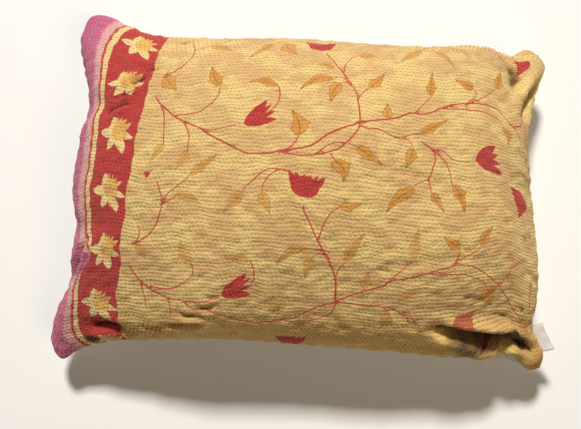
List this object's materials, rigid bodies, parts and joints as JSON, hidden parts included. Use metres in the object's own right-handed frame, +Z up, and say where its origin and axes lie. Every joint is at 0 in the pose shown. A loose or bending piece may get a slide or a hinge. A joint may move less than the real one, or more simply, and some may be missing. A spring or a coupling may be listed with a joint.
{
  "type": "kantha cushion",
  "caption": "Filled oblong cushion in a block-printed cotton cover quilted with rows of running stitch, with soft ears and a plain folded cloth label.",
  "frame": {"origin": "centre of the bounding box at the surface the cushion lies on", "axes": "+X along the cushion's length, towards the side with the label; +Y across it; +Z up, out of the printed face"},
  "size_m": [0.6022, 0.433, 0.1823],
  "materials": {
    "quilted_cotton": "matt cotton, puckered by running stitch",
    "label_tape": "smooth woven tape"
  },
  "bodies": {
    "root": {"cushion": "quilted_cotton", "label": "label_tape"}
  },
  "joints": []
}
